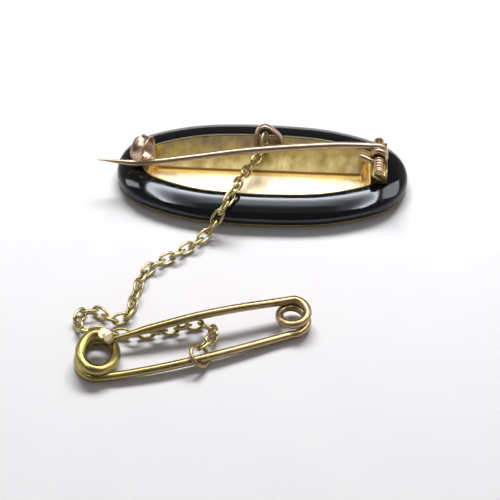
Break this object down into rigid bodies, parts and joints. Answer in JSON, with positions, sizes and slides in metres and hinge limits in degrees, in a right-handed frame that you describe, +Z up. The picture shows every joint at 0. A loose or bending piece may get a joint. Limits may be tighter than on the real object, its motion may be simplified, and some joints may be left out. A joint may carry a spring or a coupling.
{
  "type": "oval bar brooch with safety chain and guard pin",
  "caption": "Oval bar brooch of polished black stone seen from its gold back, with a hinged pin, C-catch, safety chain and a small guard pin",
  "frame": {"origin": "centre of the brooch's flat front face, which lies on the surface", "axes": "x along the brooch towards the hinge, y across it towards the chain's loop, z up out of the back"},
  "size_m": [0.0482, 0.0518, 0.0082],
  "materials": {
    "gold": "satin",
    "rose_gold": "polished",
    "yellow_gold": "polished",
    "black_stone": "polished"
  },
  "bodies": {
    "body": {"front_plate": "gold", "black_rim": "black_stone", "gold_back": "gold", "hinge_axle": "gold", "safety_chain": "yellow_gold", "jump_ring": "yellow_gold", "guard_pin": "yellow_gold"},
    "pin": {"brooch_pin": "rose_gold"}
  },
  "joints": [
    {"name": "pin_hinge", "type": "hinge", "parent": "body", "child": "pin", "pos_m": [0.01785, 0, 0.0058], "axis": [0, 1, 0], "range_deg": [0, 105]}
  ]
}
